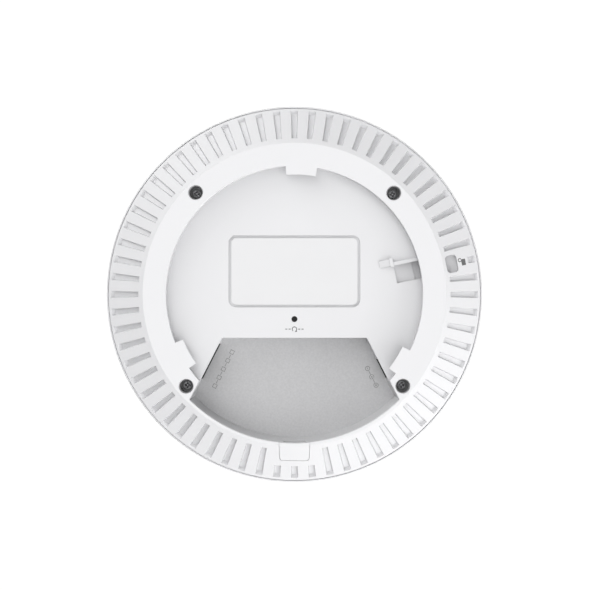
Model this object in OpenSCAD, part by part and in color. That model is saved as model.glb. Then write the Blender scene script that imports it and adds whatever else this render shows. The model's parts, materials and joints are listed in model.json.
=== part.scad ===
// Round ceiling access point, drawn with its ceiling side up.
// The origin is the centre of the mounting ring's face, +Z points at the ceiling,
// and the cable bay lies towards -Y.

/* [Casing] */
// Outside diameter of the unit
unit_d = 160; // [159:0.5:161]
// Depth from the ring face to the front of the radome
unit_h = 33.6; // [33.4:0.1:36]
// Wall of the radome
front_wall = 2; // [1.8:0.1:2.2]
// Wall of the rear housing
rear_wall = 2.2; // [2:0.1:2.3]

/* [Mounting ring] */
// Inner radius of the flat ring
ring_in_r = 54.3; // [54:0.1:54.6]
// Outer radius of the flat ring
ring_out_r = 64; // [63.8:0.1:64.2]
// Depth of the well that takes the bracket
well_depth = 6.5; // [6:0.1:7]
// Inner radius of the bayonet lugs
lug_in_r = 50.7; // [50.2:0.1:51.5]
// Thickness of the lugs
lug_t = 2; // [1.6:0.1:2.4]

/* [Vents] */
// Number of vent grooves round the cone
vent_n = 64; // [64]
// Width of a groove at its inner end
vent_in_w = 2.35; // [2:0.05:2.6]
// Width of a groove at its outer end
vent_out_w = 3.1; // [2.8:0.05:3.2]
// Depth of a groove
vent_depth = 1.5; // [1.2:0.1:1.7]

/* [Cable bay] */
// Width of the bay at its inner edge
bay_inner_w = 61.7; // [61.4:0.1:62]
// Distance of the inner edge below the centre
bay_inner_y = 18.45; // [18.3:0.05:18.6]
// Radius of the bay's outer arc
bay_arc_r = 62.8; // [62.5:0.1:62.8]
// Depth of the bay floor below the ring face
bay_depth = 19.5; // [19.3:0.1:19.6]
// Draft of the bay walls in degrees
bay_draft = 2; // [1.5:0.1:2.2]

/* [Reset button] */
// Radius of the reset hole
reset_r = 1.27; // [1.2:0.01:1.4]
// Travel of the reset button
reset_travel = 0.25; // [0.2:0.05:0.3]

/* [Hidden] */
$fn = 96;

// Small gap between pieces that sit together
gap = 0.05;
// Overlap that lets one shape merge with, or cut through, its neighbour
bite = 1;

// Rear housing
unit_r = unit_d / 2;
rim_lip = 0.55;
rim_round = 0.5;
seam_w = 0.35;
seam_d = 0.8;
skirt_r = unit_r - rim_lip - gap;
cone_r = skirt_r - seam_w;
cone_drop = 7.5;
cone_slope = cone_drop / (cone_r - ring_out_r);
cone_angle = atan(cone_slope);
cone_wall = rear_wall / cos(cone_angle);
skirt_t = 2.2;
skirt_z = -10;
skirt_in_r = skirt_r - skirt_t;
ring_under_r = ring_out_r - (cone_wall - rear_wall) / cone_slope;
well_wall_r = ring_in_r + rear_wall;
well_under_z = -well_depth - 2;

// Radome
radome_corner = 14;
front_in_z = -unit_h + front_wall;

// Vent grooves
vent_in_r = 66;
vent_out_r = 78.2;
vent_ramp = 0.9;
vent_draft = 14;
vent_cut_h = 4;
vent_pitch = 360 / vent_n;
lock_angle = 2 * vent_pitch;
lock_vent_r = 75.2;
exit_vent_r = 72.9;

// Lugs as [centre angle, width in degrees]
lugs = [[86.9, 14.1], [208.5, 12.9], [328.1, 12.2]];

// Cover screws and their sleeves
screw_r = 59.9;
screw_angles = [45.6, 134.1, 220.3, 319.8];
sleeve_flange_r = 3.15;
sleeve_r = 3;
sleeve_bore_r = 2.75;
sleeve_top_z = -0.3;
sleeve_seat_z = -1.2;
sleeve_base_z = -13.2;
sleeve_base_t = 1;
screw_head_r = 1.8;
screw_head_h = 1.8;
screw_shank_r = 1.45;
screw_hole_r = 1.6;
screw_tip_z = -24.5;
pilot_r = 1.5;
boss_r = 3.2;

// Label frame
label_w = 56;
label_h = 30.6;
label_y = 9.8;
label_corner = 3.4;
label_chamfer = 2;
label_groove_w = 1.1;
label_groove_d = 0.9;
label_recess = 0.15;

// Reset button
reset_y = -10.5;
reset_tube_r = 2.6;
reset_tube_z = -14;
reset_top_z = -9.2;
plunger_r = reset_r - 0.07;
plunger_collar_r = 2.1;
plunger_collar_h = 1;
plunger_foot_z = -17;
switch_side = 6;
switch_h = 3.5;
stem_r = 1.7;
stem_bore_r = 1.8;
stem_foot_z = -18.55;
stem_pocket_d = 0.9;

// Lock channel, tunnel and slot
lock_half_w = 3.85;
lock_start_r = 43.8;
lock_floor_z = -8.5;
lock_step_r = 51.6;
lock_deep_z = -9.7;
lock_deep_end_r = 57;
lock_slot_z = -6;
lock_wall = 1.5;
lock_slot_r = 67.8;
lock_slot_y = -0.3;
lock_slot_l = 5;
lock_slot_w = 7.5;
lock_slot_corner = 1.5;
lock_roof_z = -2.7;
lock_end_r = lock_slot_r + lock_slot_l / 2;
rib_start_r = 37.9;
rib_bump_r = 42.3;
rib_bump_l = 1.5;
rib_w = 2.8;
rib_thin_w = 1.4;
rib_h = 1.6;
rib_toe_h = 0.5;

// Cable exit at the ring
exit_half_w = 6.95;
exit_end_half_w = 6.3;
exit_end_y = -70.5;
exit_corner = 1.2;
exit_gap = 0.13;
exit_pocket_half_w = 5.5;
exit_pocket_y = -69.6;
exit_floor_z = -6.5;
exit_wall = 1.2;
exit_slot_half_w = 4.8;
exit_leg_t = 1;
exit_leg_l = 3.2;

// Bay tray: its side walls run outwards by bay_side_run for each millimetre towards the rim
tray_wall = 1.6;
tray_floor_t = 1.4;
bay_side_run = 0.51;
bay_side_angle = atan(bay_side_run);
bay_arc_draft = 3.4;
socket_top_z = -8.5;
socket_sill = 0.3;
rj45_t = 11.35;
rj45_open_w = 17;
dc_t = 14.9;
dc_open_w = 9.3;

// Main board
board_r = 70;
board_t = 1.6;
board_top_z = -21.5;
board_under_z = board_top_z - board_t;
board_hole_r = 3.7;
post_r = 67;
post_angles = [20, 110, 200, 290];
post_out_r = 2.8;
board_screw_r = 1.25;
board_screw_hole_r = 1.7;
board_screw_head_r = 2.3;
board_screw_head_h = 1.6;
board_screw_tip_z = -30.8;

// Heat spreader and what it cools
can_h = 2;
can_wall = 0.2;
pad_t = 0.9;
pad_inset = 3;
chip_h = 1.1;
spreader_top_z = board_under_z - can_h - pad_t;
spreader_t = 1.5;
spreader_under_z = spreader_top_z - spreader_t;
spreader_r = 54;
ear_w = 7;
post_top_z = spreader_under_z;

// Sockets
socket_u = tray_wall + 0.2;
rj45_w = 16;
rj45_l = 16;
rj45_h = 12;
rj45_sheet = 0.3;
rj45_plug_w = 11.9;
rj45_plug_h = 8.2;
rj45_plug_l = 12.5;
rj45_plug_z = -19.4;
dc_w = 9;
dc_l = 13.5;
dc_h = 11;
dc_bore_r = 3.1;
dc_bore_l = 10;
dc_pin_r = 1;
dc_z = -14.8;

// Antennas
antenna_r = 71.5;
antenna_sheet = 0.4;
low_band_angles = [60, 240];
high_band_angles = [150, 330];
antenna_angles = concat(low_band_angles, high_band_angles);
low_band_sweep = 26;
high_band_sweep = 15;
antenna_foot_z = front_in_z + 2.2;
antenna_tab_w = 4;
antenna_tab_r = board_r - 1.5;
cable_r = 0.6;
cable_z = -26.6;
cable_path_r = antenna_r - cable_r - gap;
cable_sweep = 16;
plug_h = 1.2;
plug_r = 1.4;
plug_at_r = board_r - 2;

// Status light
led_y = 44;
led_x = 0;
led_side = 2.2;
led_h = 1;
led_sunk = 0.3;
led_clear = 0.2;
light_pipe_r = 1.1;
light_flange_r = 2.4;

// ---------------------------------------------------------------- helpers

// Moves its children to radius r at every angle in the list
module around(angles, r) {
    for (a = angles) {
        rotate(a) translate([r, 0, 0]) children();
    }
}

// Upright bar of a ring: from radius r1 to r2 and from z1 up to z2
module ring_bar(r1, r2, z1, z2) {
    rotate_extrude() translate([r1, z1]) square([r2 - r1, z2 - z1]);
}

// Upright cylinder from z1 up to z2
module post(r, z1, z2) {
    translate([0, 0, z1]) cylinder(h = z2 - z1, r = r);
}

// Box centred on x and y, from z1 up to z2
module slab(x, y, z1, z2) {
    translate([-x / 2, -y / 2, z1]) cube([x, y, z2 - z1]);
}

// Rounded rectangle made of true arcs
module rounded_rect(w, h, r) {
    square([w - 2 * r, h], center = true);
    square([w, h - 2 * r], center = true);
    for (sx = [-1, 1], sy = [-1, 1]) {
        translate([sx * (w / 2 - r), sy * (h / 2 - r)]) circle(r);
    }
}

// Frame on the bay's right wall: +X leaves the bay, and t runs down the wall
module right_wall(t) {
    translate([bay_inner_w / 2, -bay_inner_y, 0])
        rotate(bay_side_angle)
            translate([0, -t, 0]) children();
}

// The same frame on the bay's left wall
module left_wall(t) {
    mirror([1, 0, 0]) right_wall(t) children();
}

// ---------------------------------------------------------------- shared shapes

// Revolved skin of the rear housing, before anything is cut from it
module cover_skin() {
    rotate_extrude($fn = 256)
        polygon([
            [0, -well_depth],
            [ring_in_r, -well_depth],
            [ring_in_r, 0],
            [ring_out_r, 0],
            [cone_r, -cone_drop],
            [skirt_r, -cone_drop - seam_d],
            [skirt_r, skirt_z],
            [skirt_in_r, skirt_z],
            [skirt_in_r, -(skirt_in_r - ring_out_r) * cone_slope - cone_wall],
            [ring_under_r, -rear_wall],
            [well_wall_r, -rear_wall],
            [well_wall_r, well_under_z],
            [0, well_under_z]
        ]);
}

// Everything at or above the underside of that skin
module skin_and_above() {
    rotate_extrude($fn = 256)
        polygon([
            [0, well_under_z],
            [well_wall_r, well_under_z],
            [well_wall_r, -rear_wall],
            [ring_under_r, -rear_wall],
            [skirt_in_r, -(skirt_in_r - ring_out_r) * cone_slope - cone_wall],
            [skirt_in_r, 3 * bite],
            [0, 3 * bite]
        ]);
}

// The bay's drafted space, grown sideways by grow, from floor_z up to bite above the ring
module bay_space(grow, floor_z) {
    far = 80;
    slope = tan(bay_arc_draft);
    intersection() {
        translate([0, 0, floor_z])
            cylinder(
                h = bite - floor_z,
                r1 = bay_arc_r + grow + floor_z * slope,
                r2 = bay_arc_r + grow + bite * slope,
                $fn = 256
            );
        translate([0, -bay_inner_y + grow, -well_depth])
            rotate([-bay_draft, 0, 0])
                translate([-far, -2 * far, -far]) cube([2 * far, 2 * far, 2 * far]);
        bay_side_half(grow);
        mirror([1, 0, 0]) bay_side_half(grow);
    }
}

// Half-space on the bay's side of its right wall
module bay_side_half(grow) {
    far = 80;
    right_wall(0)
        translate([grow, 0, -well_depth])
            rotate([0, bay_draft, 0])
                translate([-2 * far, -far, -far]) cube([2 * far, 2 * far, 2 * far]);
}

// Outline of the cable exit cover, drawn in by inset
module exit_outline(inset) {
    end_w = exit_end_half_w - inset;
    end_y = exit_end_y + inset;
    polygon([
        [-exit_half_w + inset, -ring_in_r],
        [-end_w, end_y + exit_corner],
        [-end_w + exit_corner, end_y],
        [end_w - exit_corner, end_y],
        [end_w, end_y + exit_corner],
        [exit_half_w - inset, -ring_in_r]
    ]);
    for (side = [-1, 1]) {
        translate([side * (end_w - exit_corner), end_y + exit_corner]) circle(exit_corner);
    }
}

// What rounding takes off the corner at the origin of a shape that lies towards -X and -Y
module corner_waste(r) {
    translate([-r, -r])
        difference() {
            square(r + bite);
            circle(r);
        }
}

// Outline of the label frame, drawn in by inset: three round corners and one chamfered
module label_outline(inset) {
    x = label_w / 2 - inset;
    y = label_h / 2 - inset;
    cut = label_chamfer - inset * (2 - sqrt(2));
    translate([0, label_y])
        difference() {
            square([2 * x, 2 * y], center = true);
            for (turn = [[0, 0], [0, 1], [1, 1]]) {
                mirror([turn[0], 0])
                    mirror([0, turn[1]])
                        translate([x, y]) corner_waste(label_corner - inset);
            }
            translate([-x, y]) polygon([[0, -cut], [cut, 0], [cut, bite], [-bite, bite], [-bite, -cut]]);
        }
}

// ---------------------------------------------------------------- rear housing

// Width of a vent groove at radius r
function vent_width(r) =
    vent_in_w + (vent_out_w - vent_in_w) * (r - vent_in_r) / (vent_out_r - vent_in_r);

// One vent groove along +X, from radius r1: wider towards the rim, with drafted walls
module vent_groove(r1) {
    length = (vent_out_r - r1) / cos(cone_angle);
    lean = tan(vent_draft);
    width = vent_out_w + 2 * bite;
    translate([r1, 0, -(r1 - ring_out_r) * cone_slope])
        rotate([0, cone_angle, 0])
            intersection() {
                rotate([90, 0, 0])
                    translate([0, 0, -width / 2])
                        linear_extrude(width)
                            polygon([
                                [vent_depth * lean, -vent_depth],
                                [length - vent_ramp, -vent_depth],
                                [length, 0],
                                [length, vent_cut_h],
                                [-vent_cut_h * lean, vent_cut_h]
                            ]);
                vent_side(r1, length);
                mirror([0, 1, 0]) vent_side(r1, length);
            }
}

// Half-space on the groove's side of one of its long walls
module vent_side(r1, length) {
    far = 20;
    spread = atan((vent_out_w - vent_width(r1)) / 2 / length);
    translate([0, vent_width(r1) / 2, 0])
        rotate([0, 0, spread])
            rotate([-vent_draft, 0, 0])
                translate([-far, -2 * far, -far]) cube(2 * far);
}

// Inner radius of the groove at index i: some give way to the lock and the cable exit
function vent_start(i) =
    i == 2 ? lock_vent_r :
    abs(i - 0.75 * vent_n) <= 1 ? exit_vent_r :
    vent_in_r;

module vents() {
    for (i = [0 : vent_n - 1]) {
        rotate(i * vent_pitch) vent_groove(vent_start(i));
    }
}

module bayonet_lug(centre, width) {
    rotate(centre - width / 2)
        rotate_extrude(angle = width, $fn = 256)
            translate([lug_in_r, -lug_t]) square([ring_in_r - lug_in_r + bite, lug_t]);
}

// Box that carries the lock channel and tunnel below the skin
module lock_housing() {
    length = lock_end_r + lock_wall - (lock_start_r - lock_wall);
    width = 2 * (lock_half_w + lock_wall);
    rotate(lock_angle)
        intersection() {
            translate([lock_start_r - lock_wall, -width / 2, lock_deep_z - lock_wall])
                cube([length, width, lock_wall - lock_deep_z - rear_wall]);
            rotate(-lock_angle) skin_below_top();
        }
}

// Everything below the top surface of the rear housing
module skin_below_top() {
    rotate_extrude($fn = 256)
        polygon([
            [0, -unit_h],
            [cone_r, -unit_h],
            [cone_r, -cone_drop - cone_wall / 2],
            [ring_out_r, -cone_wall / 2],
            [ring_in_r + rear_wall / 2, -cone_wall / 2],
            [ring_in_r + rear_wall / 2, -well_depth - rear_wall / 2],
            [0, -well_depth - rear_wall / 2]
        ]);
}

module lock_space() {
    tunnel_end_r = lock_slot_r - lock_slot_l / 2 + bite;
    rotate(lock_angle) {
        translate([lock_start_r, -lock_half_w, lock_floor_z])
            cube([ring_in_r - lock_start_r, 2 * lock_half_w, -lock_floor_z - well_depth + bite]);
        translate([lock_step_r, -lock_half_w, lock_deep_z])
            cube([lock_deep_end_r - lock_step_r, 2 * lock_half_w, lock_roof_z - lock_deep_z]);
        translate([lock_deep_end_r - bite, -lock_half_w, lock_slot_z])
            cube([tunnel_end_r - lock_deep_end_r + bite, 2 * lock_half_w, lock_roof_z - lock_slot_z]);
        translate([lock_slot_r, lock_slot_y, lock_slot_z])
            linear_extrude(bite - lock_slot_z)
                rounded_rect(lock_slot_l, lock_slot_w, lock_slot_corner);
    }
}

// Guide rib on one side of the lock channel, with its cross bump
module lock_rib() {
    floor_z = -well_depth;
    rotate(lock_angle)
        translate([0, lock_half_w, floor_z - bite]) {
            translate([0, rib_w, 0])
                rotate([90, 0, 0])
                    linear_extrude(rib_w)
                        polygon([
                            [rib_start_r, 0],
                            [rib_bump_r, 0],
                            [rib_bump_r, bite + rib_h],
                            [rib_start_r, bite + rib_toe_h]
                        ]);
            translate([rib_bump_r, -rib_toe_h, 0])
                cube([rib_bump_l, rib_w + 2 * rib_toe_h, bite + rib_h + rib_toe_h / 2]);
            translate([rib_bump_r, 0, 0])
                cube([ring_in_r + bite - rib_bump_r, rib_thin_w, bite + rib_h]);
        }
}

// Walled pocket under the cable exit cover, clear of the bay tray
module exit_housing() {
    w = 2 * (exit_half_w + exit_wall);
    difference() {
        intersection() {
            translate([-w / 2, exit_end_y - exit_wall, exit_floor_z - exit_wall])
                cube([w, -exit_end_y + exit_wall - bay_arc_r, -exit_floor_z]);
            skin_below_top();
        }
        bay_space(tray_wall + gap, -bay_depth - tray_floor_t);
    }
}

module exit_space() {
    translate([0, 0, exit_floor_z])
        linear_extrude(bite - exit_floor_z)
            translate([-exit_pocket_half_w, exit_pocket_y])
                square([2 * exit_pocket_half_w, -exit_pocket_y - ring_in_r]);
    intersection() {
        skin_and_above();
        translate([0, 0, -2 * cone_drop]) linear_extrude(3 * cone_drop) exit_outline(0);
    }
}

// Grooved frame and shallow recess for the label
module label_cut() {
    floor_z = -well_depth;
    translate([0, 0, floor_z - label_groove_d])
        linear_extrude(label_groove_d + bite)
            difference() {
                label_outline(0);
                label_outline(label_groove_w);
            }
    translate([0, 0, floor_z - label_recess])
        linear_extrude(label_recess + bite) label_outline(label_groove_w / 2);
}

module base_cover() {
    color("white")
        difference() {
            union() {
                cover_skin();
                for (lug = lugs) {
                    bayonet_lug(lug[0], lug[1]);
                }
                lock_housing();
                exit_housing();
                translate([0, reset_y, 0]) post(reset_tube_r, reset_tube_z, -well_depth - bite);
                lock_rib();
            }
            vents();
            lock_space();
            exit_space();
            label_cut();
            bay_space(0, -bay_depth);
            translate([0, reset_y, 0]) post(reset_r, reset_tube_z - bite, 0);
            around(screw_angles, screw_r) {
                post(sleeve_flange_r, sleeve_seat_z, bite);
                post(sleeve_r, sleeve_base_z, 0);
            }
        }
}

// ---------------------------------------------------------------- bay tray and exit cover

// Outside of the tray, cut off in steps just under the rear housing
module tray_hull() {
    lip_z = -(bay_arc_r + tray_wall - ring_out_r) * cone_slope - cone_wall - gap;
    difference() {
        bay_space(tray_wall, -bay_depth - tray_floor_t);
        post(well_wall_r, well_under_z, 3 * bite);
        post(unit_r, -rear_wall, 3 * bite);
        ring_bar(ring_under_r - gap, unit_r, lip_z, 3 * bite);
    }
}

module port_bay_tray() {
    color("silver")
        difference() {
            tray_hull();
            bay_space(0, -bay_depth);
            around(screw_angles, screw_r) {
                post(sleeve_r + gap, sleeve_base_z, 0);
                post(boss_r + 2 * gap, -unit_h, sleeve_base_z);
            }
            left_wall(rj45_t) socket_window(rj45_open_w);
            right_wall(dc_t) socket_window(dc_open_w);
            translate([-exit_slot_half_w, -bay_arc_r - 2 * tray_wall, exit_floor_z])
                cube([2 * exit_slot_half_w, 4 * tray_wall, -exit_floor_z]);
        }
}

// Window in a side wall, and the slit at its foot that the socket's lip fills
module socket_window(w) {
    translate([-tray_wall, -w / 2, -bay_depth])
        cube([3 * tray_wall, w, socket_top_z + bay_depth]);
    translate([-socket_sill, -w / 2, -bay_depth - 2 * tray_floor_t])
        cube([2 * tray_wall + socket_sill, w, 2 * tray_floor_t + bite]);
}

module cable_exit_cover() {
    color("white") {
        difference() {
            intersection() {
                cover_skin();
                translate([0, 0, -2 * cone_drop])
                    linear_extrude(3 * cone_drop) exit_outline(exit_gap);
            }
            bay_space(gap, -bay_depth);
        }
        for (side = [-1, 1]) {
            exit_leg(side);
        }
    }
}

// Snap leg under the exit cover
module exit_leg(side) {
    x = side * (exit_pocket_half_w - exit_gap - exit_leg_t / 2);
    leg_out_r = exit_leg_l + bay_arc_r + 2 * tray_wall;
    intersection() {
        translate([x - exit_leg_t / 2, -leg_out_r, exit_floor_z + 2 * exit_gap])
            cube([exit_leg_t, exit_leg_l, -exit_floor_z]);
        skin_below_top();
    }
}

module rating_label() {
    color("whitesmoke")
        translate([0, 0, -well_depth - label_recess])
            linear_extrude(label_recess) label_outline(label_groove_w + gap);
}

// ---------------------------------------------------------------- radome

// Half profile of the radome, drawn in by inset
module radome_profile(inset, top_z) {
    corner = radome_corner - inset;
    r = unit_r - inset;
    bottom = -unit_h + inset;
    translate([0, bottom]) square([r - corner, top_z - bottom]);
    translate([0, bottom + corner]) square([r, top_z - bottom - corner]);
    translate([r - corner, bottom + corner]) circle(corner, $fn = 128);
}

module front_cover() {
    color("white")
        difference() {
            union() {
                rotate_extrude($fn = 256)
                    difference() {
                        radome_profile(0, -cone_drop - gap);
                        radome_profile(front_wall, 0);
                        translate([0, skirt_z - gap]) square([unit_r - rim_lip, unit_h]);
                        translate([unit_r, -cone_drop - gap]) corner_waste(rim_round);
                    }
                around(screw_angles, screw_r) post(boss_r, front_in_z - bite, sleeve_base_z);
                around(post_angles, post_r) post(post_out_r, front_in_z - bite, post_top_z);
            }
            around(screw_angles, screw_r) post(pilot_r, screw_tip_z - bite, 0);
            around(post_angles, post_r) post(board_screw_r + gap, board_screw_tip_z, 0);
            translate([led_x, led_y, 0]) post(light_pipe_r, -unit_h - bite, 0);
        }
}

// ---------------------------------------------------------------- fasteners

module screw_sleeves() {
    color("dimgray") around(screw_angles, screw_r) screw_sleeve();
}

// Flared at the top so that it ends in a thin edge just under the ring's face
module screw_sleeve() {
    edge = 0.05;
    rotate_extrude()
        polygon([
            [sleeve_flange_r - edge, sleeve_top_z],
            [sleeve_flange_r, sleeve_top_z],
            [sleeve_flange_r, sleeve_seat_z],
            [sleeve_r, sleeve_seat_z],
            [sleeve_r, sleeve_base_z],
            [screw_hole_r, sleeve_base_z],
            [screw_hole_r, sleeve_base_z + sleeve_base_t],
            [sleeve_bore_r, sleeve_base_z + sleeve_base_t],
            [sleeve_bore_r, sleeve_seat_z]
        ]);
}

// Cross-head screw standing on z = 0 with its shank below
module cross_screw(head_r, head_h, shank_r, shank_l) {
    recess_w = head_r * 0.34;
    recess_l = head_r * 1.3;
    recess_d = head_h * 0.55;
    dome_h = head_h * 0.45;
    difference() {
        union() {
            post(shank_r, -shank_l, 0);
            post(head_r, 0, head_h - dome_h);
            translate([0, 0, head_h - dome_h])
                cylinder(h = dome_h, r1 = head_r, r2 = head_r * 0.62);
        }
        for (a = [0, 90]) {
            rotate(a) slab(recess_l, recess_w, head_h - recess_d, head_h + bite);
        }
    }
}

module cover_screws() {
    seat_z = sleeve_base_z + sleeve_base_t;
    color("gray")
        around(screw_angles, screw_r)
            translate([0, 0, seat_z])
                cross_screw(screw_head_r, screw_head_h, screw_shank_r, seat_z - screw_tip_z);
}

module board_screws() {
    color("silver")
        around(post_angles, post_r)
            translate([0, 0, board_top_z])
                cross_screw(
                    board_screw_head_r, board_screw_head_h,
                    board_screw_r, board_top_z - board_screw_tip_z - gap
                );
}

// ---------------------------------------------------------------- reset button

module reset_plunger() {
    collar_z = reset_tube_z - reset_travel / 2;
    color("black")
        translate([0, reset_y, 0]) {
            post(plunger_r, plunger_foot_z, reset_top_z);
            post(plunger_collar_r, collar_z - plunger_collar_h, collar_z);
        }
}

module reset_switch_body() {
    top_z = board_top_z + switch_h;
    color("dimgray")
        translate([0, reset_y, 0])
            difference() {
                slab(switch_side, switch_side, board_top_z, top_z);
                post(stem_bore_r, top_z - stem_pocket_d, top_z + bite);
            }
}

module reset_switch_stem() {
    color("black") translate([0, reset_y, 0]) post(stem_r, stem_foot_z, plunger_foot_z);
}

// ---------------------------------------------------------------- main board

module main_board() {
    color("darkgreen")
        difference() {
            post(board_r, board_under_z, board_top_z);
            around(screw_angles, screw_r) post(board_hole_r, -unit_h, 0);
            around(post_angles, post_r) post(board_screw_hole_r, -unit_h, 0);
            translate([led_x, led_y, 0])
                slab(
                    led_side + led_clear, led_side + led_clear,
                    board_under_z - bite, board_under_z + led_sunk
                );
        }
}

module heat_spreader() {
    color("lightgray")
        difference() {
            union() {
                post(spreader_r, spreader_under_z, spreader_top_z);
                for (a = post_angles) {
                    rotate(a)
                        translate([spreader_r - ear_w, -ear_w / 2, spreader_under_z])
                            cube([post_r - spreader_r + ear_w, ear_w, spreader_t]);
                }
                around(post_angles, post_r) post(ear_w / 2, spreader_under_z, spreader_top_z);
                around(post_angles, post_r) post(post_out_r, spreader_under_z, board_under_z);
            }
            around(post_angles, post_r) post(board_screw_hole_r, -unit_h, 0);
            translate([led_x, led_y, 0]) post(light_flange_r + led_clear, -unit_h, 0);
        }
}

// Chips as [x, y, side]
processor_at = [-14, 4, 19];
memory_at = [[-14, 24, 12], [8, 24, 10]];
radios_at = [[24, -4, 12], [-2, -30, 12]];
// Cans as [x, y, width, height]
cans_at = [[-14, 4, 30, 26], [24, -4, 24, 26], [-2, -30, 34, 24]];

module chip(at) {
    translate([at[0], at[1], 0]) slab(at[2], at[2], board_under_z - chip_h, board_under_z);
}

module processor() {
    color("black") chip(processor_at);
}

module memory_chips() {
    color("black") {
        for (at = memory_at) {
            chip(at);
        }
    }
}

module radio_chips() {
    color("black") {
        for (at = radios_at) {
            chip(at);
        }
    }
}

module shield_cans() {
    color("silver") {
        for (at = cans_at) {
            translate([at[0], at[1], 0])
                difference() {
                    slab(at[2], at[3], board_under_z - can_h, board_under_z);
                    slab(
                        at[2] - 2 * can_wall, at[3] - 2 * can_wall,
                        board_under_z - can_h + can_wall, board_under_z + bite
                    );
                }
        }
    }
}

module thermal_pads() {
    color("lightblue") {
        for (at = cans_at) {
            translate([at[0], at[1], 0])
                slab(
                    at[2] - 2 * pad_inset, at[3] - 2 * pad_inset,
                    spreader_top_z, board_under_z - can_h
                );
        }
    }
}

// Transformer, coils and capacitors stand between the board and the rear housing
module lan_transformer() {
    transformer_at = [-56, -4, 0];
    transformer_h = 6;
    color("black")
        translate(transformer_at) slab(12, 17, board_top_z, board_top_z + transformer_h);
}

// Row of square coils with their corners turned off
module power_inductors() {
    row_x = 50;
    side = 7;
    top_z = board_top_z + 4;
    color("dimgray") {
        for (y = [4 : 10 : 24]) {
            translate([row_x, y, 0])
                intersection() {
                    slab(side, side, board_top_z, top_z);
                    post(side * 0.6, board_top_z, top_z);
                }
        }
    }
}

module capacitors() {
    row_y = 36;
    cap_r = 4;
    cap_h = 9.5;
    color("silver") {
        for (x = [-30, -18, 30]) {
            translate([x, row_y, 0]) post(cap_r, board_top_z, board_top_z + cap_h);
        }
    }
}

// ---------------------------------------------------------------- sockets

// Box in the network socket's frame, set in at the sides and back, and run out at the front by open
module rj45_box(inset, open, z1, z2) {
    translate([socket_u - open, -rj45_w / 2 + inset, z1])
        cube([rj45_l - inset + open, rj45_w - 2 * inset, z2 - z1]);
}

module rj45_shell() {
    top_z = board_top_z + rj45_h;
    color("silver")
        left_wall(rj45_t)
            difference() {
                rj45_box(0, 0, board_top_z, top_z);
                rj45_box(rj45_sheet, bite, board_top_z - bite, top_z - rj45_sheet);
            }
}

// Lip in front of a socket of width w, flush with the bay floor
module socket_lip(w) {
    translate([2 * gap - socket_sill, -w / 2, board_top_z])
        cube([socket_u + socket_sill + bite, w, -bay_depth - board_top_z]);
}

module rj45_housing() {
    top_z = board_top_z + rj45_h - rj45_sheet - gap;
    tab_w = 4;
    tab_h = 1.6;
    color("black")
        left_wall(rj45_t) {
            difference() {
                rj45_box(rj45_sheet + gap, 0, board_top_z, top_z);
                translate([socket_u - bite, -rj45_plug_w / 2, rj45_plug_z])
                    cube([rj45_plug_l + bite, rj45_plug_w, rj45_plug_h]);
                translate([socket_u - bite, -tab_w / 2, rj45_plug_z + rj45_plug_h - bite])
                    cube([rj45_plug_l / 2, tab_w, tab_h]);
            }
            socket_lip(rj45_w - 2 * rj45_sheet - 2 * gap);
        }
}

module rj45_contacts() {
    pitch = 1.02;
    contact_w = 0.4;
    contact_l = 6;
    color("gold")
        left_wall(rj45_t) {
            for (i = [0 : 7]) {
                y = (i - 3.5) * pitch - contact_w / 2;
                translate([socket_u + rj45_plug_l - contact_l, y, rj45_plug_z])
                    cube([contact_l, contact_w, contact_w]);
            }
        }
}

module dc_jack_body() {
    color("black")
        right_wall(dc_t) {
            difference() {
                translate([socket_u, -dc_w / 2, board_top_z]) cube([dc_l, dc_w, dc_h]);
                translate([socket_u - bite, 0, dc_z])
                    rotate([0, 90, 0]) cylinder(h = dc_bore_l + bite, r = dc_bore_r);
            }
            socket_lip(dc_w);
        }
}

module dc_jack_contacts() {
    spring_t = 0.4;
    color("gold")
        right_wall(dc_t) {
            translate([socket_u + bite, 0, dc_z])
                rotate([0, 90, 0]) cylinder(h = dc_bore_l - bite, r = dc_pin_r);
            translate([socket_u + dc_bore_l / 2, -bite, dc_z - dc_bore_r + spring_t / 2])
                cube([dc_bore_l / 2, 2 * bite, spring_t]);
        }
}

// ---------------------------------------------------------------- antennas

// Sheet antenna on edge round the board, hung from it by a soldered tab
module edge_antenna(angle, sweep) {
    rotate(angle - sweep / 2)
        rotate_extrude(angle = sweep, $fn = 128)
            translate([antenna_r, antenna_foot_z])
                square([antenna_sheet, board_under_z - antenna_foot_z]);
    rotate(angle)
        translate([antenna_tab_r, -antenna_tab_w / 2, board_under_z - antenna_sheet])
            cube([antenna_r + antenna_sheet / 2 - antenna_tab_r, antenna_tab_w, antenna_sheet]);
}

module antennas_low_band() {
    color("goldenrod") {
        for (a = low_band_angles) {
            edge_antenna(a, low_band_sweep);
        }
    }
}

module antennas_high_band() {
    color("goldenrod") {
        for (a = high_band_angles) {
            edge_antenna(a, high_band_sweep);
        }
    }
}

// Each cable runs along its antenna and ends at its plug
module antenna_cables() {
    color("gray") {
        for (a = antenna_angles) {
            rotate(a)
                rotate_extrude(angle = cable_sweep)
                    translate([cable_path_r, cable_z]) circle(cable_r, $fn = 24);
        }
    }
}

// Right-angle plug: a round foot on the board and an arm out to the cable
module antenna_connectors() {
    turn = cable_sweep + asin((plug_r + gap) / cable_path_r);
    arm_l = antenna_r - gap - plug_at_r + plug_r;
    arm_z = cable_z - cable_r;
    color("gold") {
        for (a = antenna_angles) {
            rotate(a + turn) {
                translate([plug_at_r, 0, 0]) post(plug_r, board_under_z - plug_h, board_under_z);
                translate([plug_at_r - plug_r, -plug_r, arm_z])
                    cube([arm_l, 2 * plug_r, board_under_z - plug_h - arm_z]);
            }
        }
    }
}

// ---------------------------------------------------------------- status light

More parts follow.
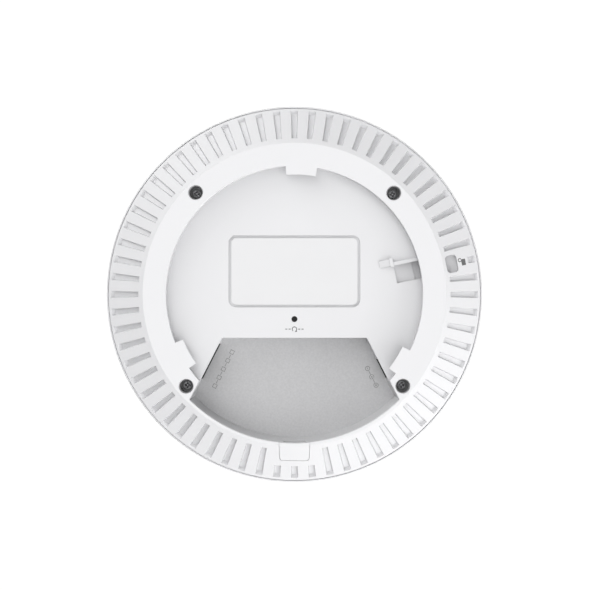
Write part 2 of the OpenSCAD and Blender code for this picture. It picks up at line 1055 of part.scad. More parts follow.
module status_led() {
    color("white")
        translate([led_x, led_y, 0])
            slab(led_side, led_side, board_under_z + led_sunk - led_h, board_under_z + led_sunk - gap);
}

module light_pipe() {
    color("lightcyan")
        translate([led_x, led_y, 0]) {
            post(light_pipe_r, -unit_h, front_in_z + bite);
            post(light_flange_r, front_in_z, front_in_z + bite);
            post(light_pipe_r, front_in_z, board_under_z - bite);
        }
}

base_cover();
port_bay_tray();
cable_exit_cover();
rating_label();
front_cover();
screw_sleeves();
cover_screws();
reset_plunger();
reset_switch_body();
reset_switch_stem();
main_board();
board_screws();
rj45_shell();
rj45_housing();
rj45_contacts();
dc_jack_body();
dc_jack_contacts();
lan_transformer();
power_inductors();
capacitors();
processor();
memory_chips();
radio_chips();
shield_cans();
thermal_pads();
heat_spreader();
antennas_low_band();
antennas_high_band();
antenna_cables();
antenna_connectors();
status_led();
light_pipe();
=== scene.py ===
"""Looks of a round ceiling access point, seen from its ceiling side and built on its CAD frame."""
import json
import math
import random
import bmesh
import bpy
from mathutils import Matrix, Vector
from mathutils.bvhtree import BVHTree


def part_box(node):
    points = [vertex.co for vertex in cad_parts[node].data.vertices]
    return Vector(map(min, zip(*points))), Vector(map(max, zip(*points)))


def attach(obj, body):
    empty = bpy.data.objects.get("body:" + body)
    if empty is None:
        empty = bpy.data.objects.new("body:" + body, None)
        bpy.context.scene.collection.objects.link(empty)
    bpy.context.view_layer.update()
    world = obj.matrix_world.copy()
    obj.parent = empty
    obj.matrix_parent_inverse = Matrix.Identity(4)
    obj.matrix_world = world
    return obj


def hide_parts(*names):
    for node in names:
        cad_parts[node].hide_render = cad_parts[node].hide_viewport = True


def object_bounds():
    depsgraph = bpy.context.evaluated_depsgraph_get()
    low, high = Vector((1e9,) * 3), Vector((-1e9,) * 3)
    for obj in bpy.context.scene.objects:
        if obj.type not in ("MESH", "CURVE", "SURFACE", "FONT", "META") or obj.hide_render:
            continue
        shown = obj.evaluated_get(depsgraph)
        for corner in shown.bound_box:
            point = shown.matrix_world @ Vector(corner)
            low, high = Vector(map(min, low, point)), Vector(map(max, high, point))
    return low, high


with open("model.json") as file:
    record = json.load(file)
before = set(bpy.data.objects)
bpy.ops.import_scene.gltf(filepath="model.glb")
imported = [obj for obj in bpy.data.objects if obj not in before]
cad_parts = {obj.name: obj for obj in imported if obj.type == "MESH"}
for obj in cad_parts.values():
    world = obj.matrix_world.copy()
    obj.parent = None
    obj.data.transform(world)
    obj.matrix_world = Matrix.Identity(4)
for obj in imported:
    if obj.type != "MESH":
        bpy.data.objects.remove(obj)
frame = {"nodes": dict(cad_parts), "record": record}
cad_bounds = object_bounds()

MM = 0.001
MAIN_BODY = "access_point"
MOUNTS = {mount["name"]: mount for mount in frame["record"]["mounts"]}
COLOURS = {row["slot"]: row["base_color"] for row in frame["record"]["materials"]}
SLOT_OF = {row["node"]: row["material_slot"] for row in frame["record"]["subparts"]}

FRONT_Z = cad_bounds[0].z
UNIT_R = cad_bounds[1].x
RING_MID_R = abs(MOUNTS["ring_face"]["pos_m"][0])
RESET_AT = (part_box("reset_plunger")[0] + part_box("reset_plunger")[1]) / 2


# ---------------------------------------------------------------- material kit

class Look:
    """A node material in the making. Textures use object coordinates, so their sizes are in metres."""

    def __init__(self, name, colour, roughness):
        self.material = bpy.data.materials.new(name)
        self.material.use_nodes = True
        self.tree = self.material.node_tree
        self.shader = self.tree.nodes["Principled BSDF"]
        self.place = self.node("ShaderNodeTexCoord").outputs["Object"]
        self.colour = self.value_node("ShaderNodeRGB", (*colour[:3], 1.0))
        self.roughness = self.value_node("ShaderNodeValue", roughness)
        self.normal = None

    def node(self, kind, **settings):
        made = self.tree.nodes.new(kind)
        for key, value in settings.items():
            setattr(made, key, value)
        return made

    def value_node(self, kind, value):
        made = self.node(kind)
        made.outputs[0].default_value = value
        return made.outputs[0]

    def feed(self, socket, value):
        """Links an output to an input, or sets the input to a plain value."""
        if isinstance(value, bpy.types.NodeSocket):
            self.tree.links.new(value, socket)
        else:
            socket.default_value = value

    def noise(self, size, detail=3.0, stretch=(1.0, 1.0, 1.0)):
        """Noise from 0 to 1 whose features are about size across."""
        mapping = self.node("ShaderNodeMapping")
        self.feed(mapping.inputs["Vector"], self.place)
        mapping.inputs["Scale"].default_value = stretch
        texture = self.node("ShaderNodeTexNoise")
        self.feed(texture.inputs["Vector"], mapping.outputs["Vector"])
        texture.inputs["Scale"].default_value = 1.0 / size
        texture.inputs["Detail"].default_value = detail
        return texture.outputs["Fac"]

    def remap(self, value, low, high, start=0.3, end=0.7):
        """value from start..end turned into low..high."""
        made = self.node("ShaderNodeMapRange")
        self.feed(made.inputs["Value"], value)
        made.inputs["From Min"].default_value = start
        made.inputs["From Max"].default_value = end
        made.inputs["To Min"].default_value = low
        made.inputs["To Max"].default_value = high
        return made.outputs["Result"]

    def math(self, operation, a, b):
        made = self.node("ShaderNodeMath", operation=operation)
        self.feed(made.inputs[0], a)
        self.feed(made.inputs[1], b)
        return made.outputs[0]

    def shade(self, factor):
        """Multiplies the colour by factor."""
        made = self.node("ShaderNodeVectorMath", operation="SCALE")
        self.feed(made.inputs["Vector"], self.colour)
        self.feed(made.inputs["Scale"], factor)
        self.colour = made.outputs["Vector"]

    def blend(self, other, factor):
        """Mixes the colour towards other by factor."""
        made = self.node("ShaderNodeMix", data_type="RGBA")
        self.feed(made.inputs["Factor"], factor)
        self.feed(made.inputs["A"], self.colour)
        self.feed(made.inputs["B"], (*other[:3], 1.0))
        self.colour = made.outputs["Result"]

    def rough(self, change):
        """Adds change to the roughness."""
        self.roughness = self.math("ADD", self.roughness, change)

    def bump(self, height, distance, strength=1.0):
        made = self.node("ShaderNodeBump")
        self.feed(made.inputs["Height"], height)
        made.inputs["Distance"].default_value = distance
        made.inputs["Strength"].default_value = strength
        if self.normal is not None:
            self.feed(made.inputs["Normal"], self.normal)
        self.normal = made.outputs["Normal"]

    def worn_edges(self, radius, lift):
        """Rubs the edges: within radius of one the colour is lifted and the surface is smoother."""
        bevel = self.node("ShaderNodeBevel", samples=4)
        bevel.inputs["Radius"].default_value = radius
        flat = self.node("ShaderNodeNewGeometry").outputs["Normal"]
        dot = self.node("ShaderNodeVectorMath", operation="DOT_PRODUCT")
        self.feed(dot.inputs[0], bevel.outputs["Normal"])
        self.feed(dot.inputs[1], flat)
        worn = self.remap(dot.outputs["Value"], 1.0, 0.0, 0.8, 1.0)
        patchy = self.math("MULTIPLY", worn, self.remap(self.noise(4 * MM), 0.4, 1.0))
        self.shade(self.math("ADD", 1.0, self.math("MULTIPLY", patchy, lift)))
        self.rough(self.math("MULTIPLY", patchy, -0.08))

    def soft_edges(self, radius):
        """Shades every edge as if it were rounded by radius."""
        bevel = self.node("ShaderNodeBevel", samples=6)
        bevel.inputs["Radius"].default_value = radius
        self.normal = bevel.outputs["Normal"]

    def painted_cavity_shade(self, reach, depth):
        """Paints shade into hollows narrower than reach: their colour is darkened by up to depth."""
        occlusion = self.node("ShaderNodeAmbientOcclusion", samples=8, only_local=True)
        occlusion.inputs["Distance"].default_value = reach
        self.shade(self.remap(occlusion.outputs["AO"], 1.0 - depth, 1.0, 0.35, 0.95))

    def done(self, inputs=()):
        """Feeds the shader and returns the material. inputs holds (input name, value) pairs."""
        self.feed(self.shader.inputs["Base Color"], self.colour)
        self.feed(self.shader.inputs["Roughness"], self.roughness)
        if self.normal is not None:
            self.feed(self.shader.inputs["Normal"], self.normal)
        for name, value in inputs:
            self.feed(self.shader.inputs[name], value)
        return self.material


# ---------------------------------------------------------------- materials

# The sunk well lies below this height. Painted shade: its colour is darker than the ring by the first
# share in its middle and by the second near its wall, and fades between these parts of the ring's
# radius
RECESS_Z = -4 * MM
RECESS_PAINTED_SHADE = -0.035
RECESS_WALL_PAINTED_SHADE = -0.1
RECESS_FADE = (0.5, 0.9)

# Feature sizes of moulded plastic
CLOUDING = 18 * MM
SHEEN_PATCH = 9 * MM
SPECKLE = 0.35 * MM
GRAIN = 0.28 * MM
EDGE_ROUND = 0.15 * MM
EDGE_WEAR = 0.25 * MM


def moulded_plastic(slot, roughness, grain, variation, lift):
    """Moulded plastic: spark-eroded grain, faint clouding and edges rubbed a little smoother.
    grain is the depth of the grain, variation how much the tone wanders, lift how light edges wear."""
    look = Look(slot, COLOURS[slot], roughness)
    look.shade(look.remap(look.noise(CLOUDING), 1.0 - variation, 1.0 + variation / 2))
    look.shade(look.remap(look.noise(SPECKLE, 2.0), 1.0 - variation / 2, 1.0 + variation / 2))
    look.rough(look.remap(look.noise(SHEEN_PATCH), -0.05, 0.05))
    look.soft_edges(EDGE_ROUND)
    look.worn_edges(EDGE_WEAR, lift)
    look.bump(look.noise(GRAIN, 2.0), grain)
    return look


def white_shell():
    look = moulded_plastic("white_shell", roughness=0.44, grain=0.006 * MM, variation=0.008, lift=0.03)
    # Painted shade in the colour: hollows narrower than 12 mm are darkened by up to 15 %, and the sunk
    # well towards its wall
    look.painted_cavity_shade(12 * MM, 0.15)
    paint_recess_shade(look)
    return look.done([("Specular IOR Level", 0.8)])


def paint_recess_shade(look):
    """Paints shade on the floor of the sunk bracket well: a little darker overall, and most of all near
    its wall.
    """
    spot = look.node("ShaderNodeSeparateXYZ")
    look.feed(spot.inputs[0], look.place)
    x, y, z = spot.outputs
    squares = look.math("ADD", look.math("MULTIPLY", x, x), look.math("MULTIPLY", y, y))
    radius = look.math("SQRT", squares, 0.0)
    sunk = look.math("LESS_THAN", z, RECESS_Z)
    inside = look.math("LESS_THAN", radius, RING_MID_R)
    start, end = RECESS_FADE[0] * RING_MID_R, RECESS_FADE[1] * RING_MID_R
    painted_shade_by_radius = look.remap(radius, RECESS_PAINTED_SHADE, RECESS_WALL_PAINTED_SHADE, start, end)
    where = look.math("MULTIPLY", sunk, inside)
    look.shade(look.math("ADD", 1.0, look.math("MULTIPLY", where, painted_shade_by_radius)))


def white_radome():
    look = moulded_plastic("white_radome", roughness=0.42, grain=0.004 * MM, variation=0.008, lift=0.02)
    return look.done([("Specular IOR Level", 0.6)])


def grey_tray():
    look = moulded_plastic("grey_tray", roughness=0.6, grain=0.012 * MM, variation=0.02, lift=0.06)
    # Painted shade and grain: the colour is darkened to 0.78 to 0.86 of its own for the shade deep in
    # the port bay, varying in 0.8 mm grain
    look.shade(look.remap(look.noise(0.8 * MM, 4.0), 0.78, 0.86))
    return look.done([("Specular IOR Level", 0.25)])


def label_film():
    look = Look("label_film", COLOURS["label_film"], 0.48)
    look.shade(look.remap(look.noise(12 * MM), 0.955, 0.965))
    look.rough(look.remap(look.noise(3 * MM), -0.06, 0.06))
    look.bump(look.noise(6 * MM, 4.0), 0.01 * MM)
    return look.done([("Specular IOR Level", 0.3)])


def dark_sleeve():
    look = moulded_plastic("dark_sleeve", roughness=0.42, grain=0.008 * MM, variation=0.05, lift=0.5)
    # Painted light: the colour is lifted 1.6 times for light that the deep screw well does not get
    look.shade(1.6)
    return look.done([("Specular IOR Level", 0.5)])


def black_plastic():
    look = moulded_plastic("black_plastic", roughness=0.5, grain=0.01 * MM, variation=0.08, lift=0.6)
    return look.done()


def metal(slot, roughness, streak, scratch):
    """Plated or stamped metal: fine rolling streaks, blotchy oxide and brighter edges.
    streak stretches the streaks along an axis, and scratch is their depth."""
    look = Look(slot, COLOURS[slot], roughness)
    look.shade(look.remap(look.noise(2.5 * MM, 5.0), 0.8, 1.08))
    streaks = look.noise(0.2 * MM, 4.0, streak)
    look.rough(look.remap(streaks, -0.1, 0.12))
    look.worn_edges(0.12 * MM, 0.35)
    look.bump(streaks, scratch)
    return look.done([("Metallic", 1.0)])


def screw_steel():
    """Zinc plate. Painted light: its grey is lifted well above its own, for light that does not reach
    the bottom of the deep well.
    """
    look = Look("screw_steel", COLOURS["screw_steel"], 0.4)
    # Painted light: the colour is lifted 2.6 to 3 times, with a little random tone
    look.shade(look.remap(look.noise(0.6 * MM, 4.0), 2.6, 3.0))
    look.rough(look.remap(look.noise(0.3 * MM, 3.0), -0.08, 0.1))
    look.worn_edges(0.15 * MM, 0.3)
    # Painted shade: the cross recess is darkened by up to 75 % in the colour
    look.painted_cavity_shade(0.9 * MM, 0.75)
    look.bump(look.noise(0.15 * MM, 3.0), 0.004 * MM)
    return look.done([("Metallic", 0.35)])


def tinned_steel():
    return metal("tinned_steel", roughness=0.3, streak=(0.1, 1.0, 1.0), scratch=0.002 * MM)


def gold_contact():
    return metal("gold_contact", roughness=0.22, streak=(0.1, 1.0, 1.0), scratch=0.001 * MM)


def can_aluminium():
    return metal("can_aluminium", roughness=0.3, streak=(1.0, 1.0, 0.05), scratch=0.002 * MM)


def spreader_aluminium():
    return metal("spreader_aluminium", roughness=0.36, streak=(0.04, 1.0, 1.0), scratch=0.003 * MM)


def antenna_brass():
    return metal("antenna_brass", roughness=0.3, streak=(1.0, 1.0, 0.05), scratch=0.002 * MM)


def board():
    """Solder mask over copper: pale traces show through the green."""
    look = Look("board", COLOURS["board"], 0.35)
    cells = look.node("ShaderNodeTexVoronoi", feature="DISTANCE_TO_EDGE", distance="CHEBYCHEV")
    look.feed(cells.inputs["Vector"], look.place)
    cells.inputs["Scale"].default_value = 1.0 / (3 * MM)
    traces = look.remap(cells.outputs["Distance"], 1.0, 0.0, 0.03, 0.06)
    look.blend((0.05, 0.26, 0.12), look.math("MULTIPLY", traces, 0.7))
    look.shade(look.remap(look.noise(15 * MM), 0.9, 1.05))
    look.rough(look.remap(look.noise(1 * MM), -0.05, 0.05))
    look.bump(traces, 0.03 * MM)
    return look.done([("Specular IOR Level", 0.5)])


def chip():
    look = moulded_plastic("chip", roughness=0.55, grain=0.01 * MM, variation=0.08, lift=0.5)
    return look.done()


def ferrite():
    look = moulded_plastic("ferrite", roughness=0.7, grain=0.03 * MM, variation=0.15, lift=0.4)
    return look.done()


def thermal_pad():
    look = moulded_plastic("thermal_pad", roughness=0.8, grain=0.03 * MM, variation=0.06, lift=0.0)
    return look.done([("Specular IOR Level", 0.2)])


def coax_jacket():
    look = moulded_plastic("coax_jacket", roughness=0.45, grain=0.006 * MM, variation=0.06, lift=0.2)
    return look.done()


def led_body():
    look = moulded_plastic("led_body", roughness=0.2, grain=0.001 * MM, variation=0.02, lift=0.1)
    return look.done([("Coat Weight", 0.4)])


def clear_pipe():
    """Acrylic light guide with a faintly frosted end."""
    look = Look("clear_pipe", COLOURS["clear_pipe"], 0.12)
    look.rough(look.remap(look.noise(0.5 * MM), 0.0, 0.15))
    look.shade(look.remap(look.noise(3 * MM), 0.96, 1.0))
    look.bump(look.noise(0.4 * MM), 0.002 * MM)
    return look.done([("Transmission Weight", 0.85), ("IOR", 1.49)])


def ink(name, grey):
    """Pad-printed ink: flat grey, a little broken up at the scale of the grain it sits on."""
    look = Look(name, (grey, grey, grey * 1.01), 0.55)
    look.shade(look.remap(look.noise(0.3 * MM, 3.0), 0.88, 1.12))
    look.rough(look.remap(look.noise(0.5 * MM), -0.05, 0.08))
    look.bump(look.noise(0.3 * MM), 0.002 * MM)
    return look.done([("Specular IOR Level", 0.3)])


LOOKS = {
    make.__name__: make
    for make in (
        white_shell, white_radome, grey_tray, label_film, dark_sleeve, screw_steel, black_plastic,
        board, tinned_steel, gold_contact, ferrite, can_aluminium, chip, thermal_pad,
        spreader_aluminium, antenna_brass, coax_jacket, led_body, clear_pipe,
    )
}


def dress_frame():
    """Gives every CAD node the look of its material slot, and returns the looks by slot."""
    made = {slot: make() for slot, make in LOOKS.items()}
    for name, node in frame["nodes"].items():
        material = made[SLOT_OF[name]]
        node.data.materials.clear()
        node.data.materials.append(material)
    return made


# ---------------------------------------------------------------- cover screws

# Sizes of a cover screw, in millimetres
SCREW_HEAD_R = 1.8
SCREW_HEAD_H = 1.8
SCREW_SHANK_R = 1.45
SCREW_RIM_R = 0.4
SCREW_CROWN = 0.25
# The cross recess: its arms, the slope of its walls, and the raised pip in its middle
CROSS_REACH = 1.3
CROSS_HALF_W = 0.36
CROSS_DEPTH = 1.1
CROSS_WALL_IN = 0.06
CROSS_WALL_OUT = 0.1
CROSS_END_W = 0.25
CROSS_PIP_R = 0.55
CROSS_PIP_WALL = 0.2
CROSS_PIP_RISE = 0.75
# How finely the screw is meshed, and how far the screws may be turned, in degrees
SCREW_SIDES = 72
SCREW_RINGS = 36
SCREW_TURNS = (-14, 20)


def fade(value, start, end):
    """0 up to start, 1 from end on, and smooth between them."""
    t = min(max((value - start) / (end - start), 0.0), 1.0)
    return t * t * (3.0 - 2.0 * t)


def screw_top(x, y):
    """Height of the screw head at x, y below its own highest point, in millimetres."""
    r = math.hypot(x, y)
    crown = -SCREW_CROWN * (r / SCREW_HEAD_R) ** 2
    over_rim = max(r - (SCREW_HEAD_R - SCREW_RIM_R), 0.0)
    rim = math.sqrt(max(SCREW_RIM_R ** 2 - over_rim ** 2, 0.0)) - SCREW_RIM_R
    across, along = sorted((abs(x), abs(y)))
    arm = 1.0 - fade(across, CROSS_HALF_W - CROSS_WALL_IN, CROSS_HALF_W + CROSS_WALL_OUT)
    arm *= 1.0 - fade(along, CROSS_REACH - CROSS_END_W, CROSS_REACH)
    pip = 1.0 - fade(r, CROSS_PIP_R - CROSS_PIP_WALL, CROSS_PIP_R)
    return crown + rim - arm * CROSS_DEPTH * (1.0 - CROSS_PIP_RISE * pip)


def screw_rings(seat_z, tip_z):
    """Rings of the screw as (radius, height) pairs, from the middle of the head to the tip.
    Rings on top of the head have no height of their own: they follow screw_top."""
    crowding = 0.85
    rings = [(SCREW_HEAD_R * (i / SCREW_RINGS) ** crowding, None) for i in range(1, SCREW_RINGS + 1)]
    rings.append((SCREW_HEAD_R, seat_z))
    rings.append((SCREW_SHANK_R, seat_z))
    rings.append((SCREW_SHANK_R, tip_z + SCREW_SHANK_R / 2))
    rings.append((SCREW_SHANK_R / 2, tip_z))
    return rings


def cover_screw(mesh, centre, turn, top_z, tip_z):
    """Adds one cross-head screw to mesh. Heights are in millimetres, and centre is in metres."""
    place = Matrix.Translation(centre) @ Matrix.Rotation(turn, 4, "Z")

    def vertex(x, y, z):
        return mesh.verts.new(place @ Vector((x * MM, y * MM, z * MM)))

    def ring(radius, height):
        loop = []
        for turned in angles(SCREW_SIDES):
            x, y = radius * math.cos(turned), radius * math.sin(turned)
            z = top_z + screw_top(x, y) if height is None else height
            loop.append(vertex(x, y, z))
        return loop

    loops = [ring(radius, height) for radius, height in screw_rings(top_z - SCREW_HEAD_H, tip_z)]
    middle = vertex(0, 0, top_z + screw_top(0, 0))
    for i in range(SCREW_SIDES):
        j = (i + 1) % SCREW_SIDES
        mesh.faces.new((middle, loops[0][i], loops[0][j]))
        for outer, inner in zip(loops[1:], loops):
            mesh.faces.new((inner[i], outer[i], outer[j], inner[j]))
    mesh.faces.new(loops[-1][::-1])


def angles(count):
    """count angles evenly round a circle, in radians."""
    return [2 * math.pi * i / count for i in range(count)]


def islands(node):
    """Lowest and highest corners of each separate solid in a CAD node."""
    mesh = bmesh.new()
    mesh.from_mesh(node.data)
    bmesh.ops.remove_doubles(mesh, verts=mesh.verts, dist=0.001 * MM)
    left = set(mesh.verts)
    boxes = []
    while left:
        stack = [left.pop()]
        island = []
        while stack:
            vertex = stack.pop()
            island.append(vertex.co.copy())
            for edge in vertex.link_edges:
                other = edge.other_vert(vertex)
                if other in left:
                    left.discard(other)
                    stack.append(other)
        low = Vector([min(co[axis] for co in island) for axis in range(3)])
        high = Vector([max(co[axis] for co in island) for axis in range(3)])
        boxes.append((low, high))
    mesh.free()
    return sorted(boxes, key=lambda pair: math.atan2(pair[0].y, pair[0].x))


def cover_screws(material):
    """The four housing screws with a rounded head and a cross recess."""
    mesh = bmesh.new()
    rng = random.Random(7)
    for low, high in islands(frame["nodes"]["cover_screws"]):
        centre = Vector(((low.x + high.x) / 2, (low.y + high.y) / 2, 0))
        turn = math.radians(rng.uniform(*SCREW_TURNS))
        cover_screw(mesh, centre, turn, high.z / MM, low.z / MM)
    bmesh.ops.recalc_face_normals(mesh, faces=mesh.faces)
    data = bpy.data.meshes.new("cover_screws_shaped")
    mesh.to_mesh(data)
    mesh.free()
    for polygon in data.polygons:
        polygon.use_smooth = True
    data.materials.append(material)
    piece = bpy.data.objects.new("cover_screws_shaped", data)
    bpy.context.scene.collection.objects.link(piece)
    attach(piece, MAIN_BODY)
    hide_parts("cover_screws")


# ---------------------------------------------------------------- printed symbols

INK_T = 0.03 * MM
# Where each symbol sits, in millimetres: how far below the reset hole, how far out of a socket
# and down along its wall, and how far outside the lock slot
RESET_MARK_DOWN = 4.25
NETWORK_MARK_AT = (6.4, 0.9)
POWER_MARK_AT = (5.5, 1.6)
PADLOCK_MARK_OUT = 3.9


def ground_tree(name):
    """Search tree over a CAD node's faces, for finding its surface under a point."""
    node = frame["nodes"][name]
    corners = [vertex.co for vertex in node.data.vertices]
    return BVHTree.FromPolygons(corners, [polygon.vertices for polygon in node.data.polygons])


def bar(x1, y1, x2, y2):
    """Corners of an upright rectangle."""
    return [(x1, y1), (x2, y1), (x2, y2), (x1, y2)]


def arc_strokes(x, y, radius, width, start, end, steps=20):
    """Quads along an arc stroke, from start to end degrees."""
    inner, outer = radius - width / 2, radius + width / 2
    turns = [math.radians(start + (end - start) * i / steps) for i in range(steps + 1)]

    def at(r, turn):
        return (x + r * math.cos(turn), y + r * math.sin(turn))

    return [[at(inner, a), at(outer, a), at(outer, b), at(inner, b)] for a, b in zip(turns, turns[1:])]


def print_symbol(name, shapes, place, node, look, body=MAIN_BODY):
    """Lays flat outlines, in millimetres, on a CAD node as a thin skin of ink.
    place takes the symbol's own x and y to the frame, and each corner drops from far above."""
    ground = ground_tree(node)
    start_z = UNIT_R
    mesh = bmesh.new()
    for shape in shapes:
        top = []
        under = []
        for x, y in shape:
            point = place @ Vector((x * MM, y * MM, 0))
            hit = ground.ray_cast(Vector((point.x, point.y, start_z)), Vector((0, 0, -1)))[0]
            top.append(mesh.verts.new(hit + Vector((0, 0, INK_T))))
            under.append(mesh.verts.new(hit - Vector((0, 0, INK_T / 2))))
        mesh.faces.new(top)
        mesh.faces.new(under[::-1])
        for i in range(len(shape)):
            j = (i + 1) % len(shape)
            mesh.faces.new((under[i], under[j], top[j], top[i]))
    bmesh.ops.remove_doubles(mesh, verts=mesh.verts, dist=0.001 * MM)
    drop_inner_faces(mesh)
    bmesh.ops.recalc_face_normals(mesh, faces=mesh.faces)
    data = bpy.data.meshes.new(name)
    mesh.to_mesh(data)
    mesh.free()
    data.materials.append(look)
    piece = bpy.data.objects.new(name, data)
    bpy.context.scene.collection.objects.link(piece)
    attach(piece, body)
    return piece


def drop_inner_faces(mesh):
    """Deletes the walls that neighbouring strokes share, so each symbol is one closed skin."""
    mesh.verts.index_update()
    seen = {}
    for face in mesh.faces:
        seen.setdefault(frozenset(vertex.index for vertex in face.verts), []).append(face)
    doubled = [face for faces in seen.values() if len(faces) > 1 for face in faces]
    bmesh.ops.delete(mesh, geom=doubled, context="FACES_ONLY")


def symbol_frame(x, y, angle):
    """Placing matrix for a symbol centred on x, y and turned by angle, all in the row frame."""
    return Matrix.Translation((x, y, 0)) @ Matrix.Rotation(angle, 4, "Z")


def beside_socket(mount, inward, down):
    """Placing matrix beside a socket: inward is the way out of the socket, down runs along its wall."""
    at = Vector(MOUNTS[mount]["pos_m"])
    axis = Vector(MOUNTS[mount]["axis"]).normalized()
    wall = Vector((axis.y, -axis.x, 0))
    if wall.y > 0:
        wall = -wall
    spot = at + axis * inward * MM + wall * down * MM
    along = -wall if axis.x > 0 else wall
    return symbol_frame(spot.x, spot.y, math.atan2(along.y, along.x))


def reset_symbol():
    """A circular arrow with two dashes on either side, for below the reset hole."""
    stroke = 0.34
    radius = 0.95
    arrow_head = [(0.15, -1.25), (1.15, -1.1), (0.75, -0.25)]
    dash_half = 0.45
    shapes = arc_strokes(0, 0, radius, stroke, -50, 230)
    shapes.append(arrow_head)
    for side in (-1, 1):
        for middle in (2.05, 3.45):
            x = side * middle
            shapes.append(bar(x - dash_half, -stroke / 2, x + dash_half, stroke / 2))
    return shapes


def network_symbol():
    """A chain of linked boxes."""
    stroke = 0.2
    side = 1.8
    pitch = 4.1
    clear = 0.3
    shapes = []
    for i in range(-2, 3):
        x = i * pitch
        shapes.append(bar(x - side / 2, side / 2 - stroke, x + side / 2, side / 2))
        shapes.append(bar(x - side / 2, -side / 2, x + side / 2, -side / 2 + stroke))
        for edge in (-1, 1):
            middle = x + edge * (side - stroke) / 2
            low, high = -side / 2 + stroke, side / 2 - stroke
            shapes.append(bar(middle - stroke / 2, low, middle + stroke / 2, high))
        if i < 2:
            start = x + side / 2 + clear
            end = x + pitch - side / 2 - clear
            shapes.append(bar(start, -stroke / 2, end, stroke / 2))
    return shapes


def power_symbol():
    """Barrel plug polarity: minus, a ringed dot and plus, joined by short lines."""
    stroke = 0.22
    radius = 0.95
    reach = 4.05
    sign = 0.45
    clear = 0.25
    shapes = []
    for x in (-reach, reach):
        shapes += arc_strokes(x, 0, radius, stroke, 0, 360, 24)
        shapes.append(bar(x - sign, -stroke / 2, x + sign, stroke / 2))
    for side in (-1, 1):
        low, high = sorted((side * stroke / 2, side * sign))
        shapes.append(bar(reach - stroke / 2, low, reach + stroke / 2, high))
    shapes += arc_strokes(0, 0, radius, stroke, 35, 325)
    shapes += arc_strokes(0, 0, 0.15, 0.28, 0, 360, 10)
    shapes.append(bar(-reach + radius + clear, -stroke / 2, -radius - 0.2, stroke / 2))
    shapes.append(bar(0.35, -stroke / 2, reach - radius - clear, stroke / 2))
    return shapes


def padlock_symbol():
    """An open padlock: a solid body with the shackle swung to one side."""
    body_w, body_h = 1.8, 2.7
    x, y = 1.35, -0.2
    left, right = x - body_w / 2, x + body_w / 2
    shackle_r = 0.68
    shackle_stroke = 0.36
    shapes = [bar(left, y - body_h / 2, right, y + body_h / 2)]
    shapes += arc_strokes(left - 0.6, y + 1.1, shackle_r, shackle_stroke, 30, 330)
    return shapes


def print_symbols():
    """Puts the four pictograms on the rear housing and the bay floor."""
    dark = ink("ink_dark", 0.17)
    faint = ink("ink_faint", 0.24)
    below_reset = symbol_frame(RESET_AT.x, RESET_AT.y - RESET_MARK_DOWN * MM, 0)
    print_symbol("reset_mark", reset_symbol(), below_reset, "base_cover", dark)
    by_network = beside_socket("ethernet_socket", *NETWORK_MARK_AT)
    print_symbol("network_mark", network_symbol(), by_network, "port_bay_tray", faint)
    by_power = beside_socket("power_socket", *POWER_MARK_AT)
    print_symbol("power_mark", power_symbol(), by_power, "port_bay_tray", faint)
    slot = Vector(MOUNTS["lock_slot"]["pos_m"])
    out = math.atan2(slot.y, slot.x)
    spot = slot + Vector((math.cos(out), math.sin(out), 0)) * PADLOCK_MARK_OUT * MM
    by_slot = symbol_frame(spot.x, spot.y, out)
    print_symbol("padlock_mark", padlock_symbol(), by_slot, "base_cover", dark)


# ---------------------------------------------------------------- stage, light and camera

# Soft round lights on the studio dome: azimuth and height in degrees, and strength
DOME_LIGHTS = (
    (120, 25, 2.5),
    (150, 25, 1.0),
    (120, 67, 1.8),
    (270, 25, 1.4),
    (330, 25, 2.7),
    (300, 8, 1.8),
    (300, 67, 2.0),
)
DOME_LIGHT_REACH = math.radians(32)
# Strength of the floor's glow as the camera sees it, and as it lights the unit
FLOOR_GLOW = 1.05
FLOOR_SPILL = 0.4
FLOOR_HALF_W = 3.0
FLOOR_GAP = 1 * MM
# Camera height, its offset from the unit's axis, and its lens and sensor in millimetres
CAMERA_HEIGHT = 780 * MM
CAMERA_OFFSET = 0.24 * MM
CAMERA_LENS = 112.8
CAMERA_SENSOR = 36.0


def studio_dome():
    """World light: soft round lights at set places on a dark dome."""
    world = bpy.data.worlds.new("studio")
    bpy.context.scene.world = world
    world.use_nodes = True
    tree = world.node_tree
    background = tree.nodes["Background"]
    background.inputs["Color"].default_value = (1.0, 1.0, 1.0, 1.0)
    direction = tree.nodes.new("ShaderNodeTexCoord").outputs["Generated"]
    total = None
    for azimuth, height, strength in DOME_LIGHTS:
        around, up = math.radians(azimuth), math.radians(height)
        middle = (math.cos(around) * math.cos(up), math.sin(around) * math.cos(up), math.sin(up))
        dot = tree.nodes.new("ShaderNodeVectorMath")
        dot.operation = "DOT_PRODUCT"
        tree.links.new(direction, dot.inputs[0])
        dot.inputs[1].default_value = middle
        glow = tree.nodes.new("ShaderNodeMapRange")
        glow.interpolation_type = "SMOOTHSTEP"
        tree.links.new(dot.outputs["Value"], glow.inputs["Value"])
        glow.inputs["From Min"].default_value = math.cos(DOME_LIGHT_REACH)
        glow.inputs["From Max"].default_value = 1.0
        glow.inputs["To Min"].default_value = 0.0
        glow.inputs["To Max"].default_value = strength
        if total is None:
            total = glow.outputs["Result"]
            continue
        add = tree.nodes.new("ShaderNodeMath")
        tree.links.new(glow.outputs["Result"], add.inputs[0])
        tree.links.new(total, add.inputs[1])
        total = add.outputs[0]
    tree.links.new(total, background.inputs["Strength"])


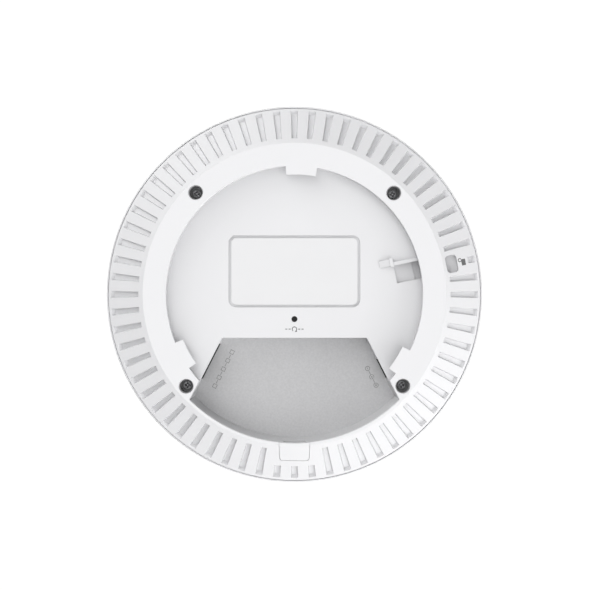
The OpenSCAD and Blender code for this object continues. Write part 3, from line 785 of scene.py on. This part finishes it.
def studio_floor():
    """Pale glowing floor just under the unit, which takes no shadow and is clear from below.
    It looks white to the camera, but lights the unit much less than that."""
    z = FRONT_Z - FLOOR_GAP
    corners = [(x * FLOOR_HALF_W, y * FLOOR_HALF_W, z) for x, y in bar(-1, -1, 1, 1)]
    data = bpy.data.meshes.new("floor")
    data.from_pydata(corners, [], [(0, 1, 2, 3)])
    material = bpy.data.materials.new("floor")
    material.use_nodes = True
    nodes, links = material.node_tree.nodes, material.node_tree.links
    nodes.remove(nodes["Principled BSDF"])
    glow = nodes.new("ShaderNodeEmission")
    strength = nodes.new("ShaderNodeMapRange")
    links.new(nodes.new("ShaderNodeLightPath").outputs["Is Camera Ray"], strength.inputs["Value"])
    strength.inputs["To Min"].default_value = FLOOR_SPILL
    strength.inputs["To Max"].default_value = FLOOR_GLOW
    links.new(strength.outputs["Result"], glow.inputs["Strength"])
    clear = nodes.new("ShaderNodeBsdfTransparent")
    mix = nodes.new("ShaderNodeMixShader")
    links.new(nodes.new("ShaderNodeNewGeometry").outputs["Backfacing"], mix.inputs["Fac"])
    links.new(glow.outputs[0], mix.inputs[1])
    links.new(clear.outputs[0], mix.inputs[2])
    links.new(mix.outputs[0], nodes["Material Output"].inputs["Surface"])
    data.materials.append(material)
    floor = bpy.data.objects.new("floor", data)
    bpy.context.scene.collection.objects.link(floor)


def camera():
    """Straight above the ceiling side, as far off as the mild perspective of the view asks for."""
    data = bpy.data.cameras.new("camera")
    data.sensor_width = CAMERA_SENSOR
    data.lens = CAMERA_LENS
    data.clip_start = 0.01
    data.clip_end = 10.0
    made = bpy.data.objects.new("camera", data)
    made.location = (CAMERA_OFFSET, -CAMERA_OFFSET, CAMERA_HEIGHT)
    bpy.context.scene.collection.objects.link(made)
    bpy.context.scene.camera = made


def develop():
    """Plain film response, so that tones come out as lit."""
    view = bpy.context.scene.view_settings
    view.view_transform = "Standard"
    view.look = "None"
    view.exposure = 0.0
    view.gamma = 1.0


finishes = dress_frame()
cover_screws(finishes[SLOT_OF["cover_screws"]])
print_symbols()
studio_dome()
studio_floor()
camera()
develop()
